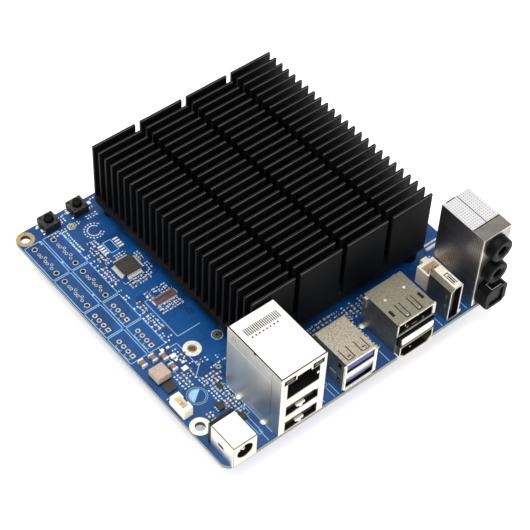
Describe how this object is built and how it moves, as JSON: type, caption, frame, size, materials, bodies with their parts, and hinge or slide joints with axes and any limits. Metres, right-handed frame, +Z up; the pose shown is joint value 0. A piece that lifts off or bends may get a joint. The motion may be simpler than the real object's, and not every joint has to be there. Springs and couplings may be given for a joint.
{
  "type": "single board computer",
  "caption": "Fanless square single board computer with a large finned heatsink, stacked front connectors, push switches, and memory and drive sockets below.",
  "frame": {"origin": "centre of the object's box, seen from above, at the lowest face of the tall memory socket on which it rests", "axes": "+X along the connector edge toward the audio stack, +Y from the connector edge toward the push switches, +Z up out of the board toward the heatsink"},
  "size_m": [0.12, 0.1244, 0.0449],
  "materials": {
    "blue_solder_mask": "gloss solder mask over glass fibre",
    "black_anodised_aluminium": "satin black anodising",
    "zinc_steel": "zinc plated",
    "nickel_steel": "bright nickel plated sheet",
    "tinned_steel": "tin plated sheet",
    "spring_steel": "polished spring steel",
    "gold_plate": "gold flash on copper alloy",
    "black_nylon": "fine moulded texture",
    "black_gloss_plastic": "smooth moulded",
    "blue_nylon": "smooth moulded",
    "cream_nylon": "fine moulded texture",
    "brown_lcp": "moulded",
    "clear_light_pipe": "translucent",
    "label_paper": "matt label stock",
    "green_laminate": "solder mask",
    "silicon": "polished",
    "thermal_pad_grey": "soft matt",
    "chip_epoxy": "laser frosted moulding compound",
    "inductor_ferrite": "pressed powder",
    "capacitor_ceramic": "fired ceramic"
  },
  "bodies": {
    "main": {"board": "blue_solder_mask", "heatsink": "black_anodised_aluminium", "heatsink_screws": "zinc_steel", "processor_substrate": "green_laminate", "processor_die": "silicon", "thermal_pad": "thermal_pad_grey", "dc_jack_shield": "tinned_steel", "dc_jack_body": "black_nylon", "dc_jack_pin": "tinned_steel", "dc_jack_spring": "spring_steel", "lan_shield": "tinned_steel", "lan_housing": "black_nylon", "lan_contacts": "gold_plate", "lan_light_pipes": "clear_light_pipe", "lan_label": "label_paper", "usb2_upper_tongue": "black_nylon", "usb2_lower_tongue": "black_nylon", "usb3_shell": "nickel_steel", "usb3_housing": "black_nylon", "usb3_upper_tongue": "blue_nylon", "usb3_lower_tongue": "blue_nylon", "video_shell": "nickel_steel", "video_housing": "black_nylon", "video_upper_tongue": "black_nylon", "video_lower_tongue": "black_nylon", "upright_shell": "nickel_steel", "upright_housing": "black_nylon", "upright_tongue": "black_nylon", "audio_can": "zinc_steel", "audio_core": "black_nylon", "upper_jack": "black_gloss_plastic", "lower_jack": "black_gloss_plastic", "optical_port": "black_gloss_plastic", "power_switch_base": "black_nylon", "power_switch_cover": "zinc_steel", "reset_switch_base": "black_nylon", "reset_switch_cover": "zinc_steel", "switch_legs": "tinned_steel", "shield_legs": "tinned_steel", "io_chip": "chip_epoxy", "io_chip_leads": "tinned_steel", "storage_connector": "brown_lcp", "power_inductor": "inductor_ferrite", "regulator_chip": "chip_epoxy", "bulk_capacitors": "capacitor_ceramic", "battery_header": "cream_nylon", "fan_header": "cream_nylon", "fan_header_pins": "gold_plate", "tall_memory_socket": "black_nylon", "low_memory_socket": "black_nylon", "drive_socket": "black_nylon", "drive_standoff": "gold_plate", "underside_chips": "chip_epoxy"},
    "power_button": {"power_button": "black_gloss_plastic"},
    "reset_button": {"reset_button": "black_gloss_plastic"},
    "shutter": {"optical_shutter": "black_nylon"},
    "tall_latch_left": {"tall_latch_left": "spring_steel"},
    "tall_latch_right": {"tall_latch_right": "spring_steel"},
    "low_latch_left": {"low_latch_left": "spring_steel"},
    "low_latch_right": {"low_latch_right": "spring_steel"}
  },
  "joints": [
    {"name": "power_button_press", "type": "slide", "parent": "main", "child": "power_button", "axis": [0, 0, -1], "range_m": [0, 0.00025], "stiffness_N_per_m": 6000},
    {"name": "reset_button_press", "type": "slide", "parent": "main", "child": "reset_button", "axis": [0, 0, -1], "range_m": [0, 0.00025], "stiffness_N_per_m": 6000},
    {"name": "shutter_swing", "type": "hinge", "parent": "main", "child": "shutter", "pos_m": [0.05205, -0.0611, 0.0192], "axis": [1, 0, 0], "range_deg": [0, 85], "stiffness_Nm_per_rad": 0.0002, "springref_deg": -28.65},
    {"name": "tall_latch_left_flex", "type": "hinge", "parent": "main", "child": "tall_latch_left", "pos_m": [-0.0383, 0.0006, 0.0058], "axis": [0, 0, 1], "range_deg": [0, 4], "stiffness_Nm_per_rad": 0.45},
    {"name": "tall_latch_right_flex", "type": "hinge", "parent": "main", "child": "tall_latch_right", "pos_m": [0.0483, 0.0006, 0.0058], "axis": [0, 0, -1], "range_deg": [0, 4], "stiffness_Nm_per_rad": 0.45},
    {"name": "low_latch_left_flex", "type": "hinge", "parent": "main", "child": "low_latch_left", "pos_m": [-0.0335, 0.0098, 0.0058], "axis": [0, 0, 1], "range_deg": [0, 4], "stiffness_Nm_per_rad": 0.45},
    {"name": "low_latch_right_flex", "type": "hinge", "parent": "main", "child": "low_latch_right", "pos_m": [0.0435, 0.0098, 0.0058], "axis": [0, 0, -1], "range_deg": [0, 4], "stiffness_Nm_per_rad": 0.45}
  ]
}
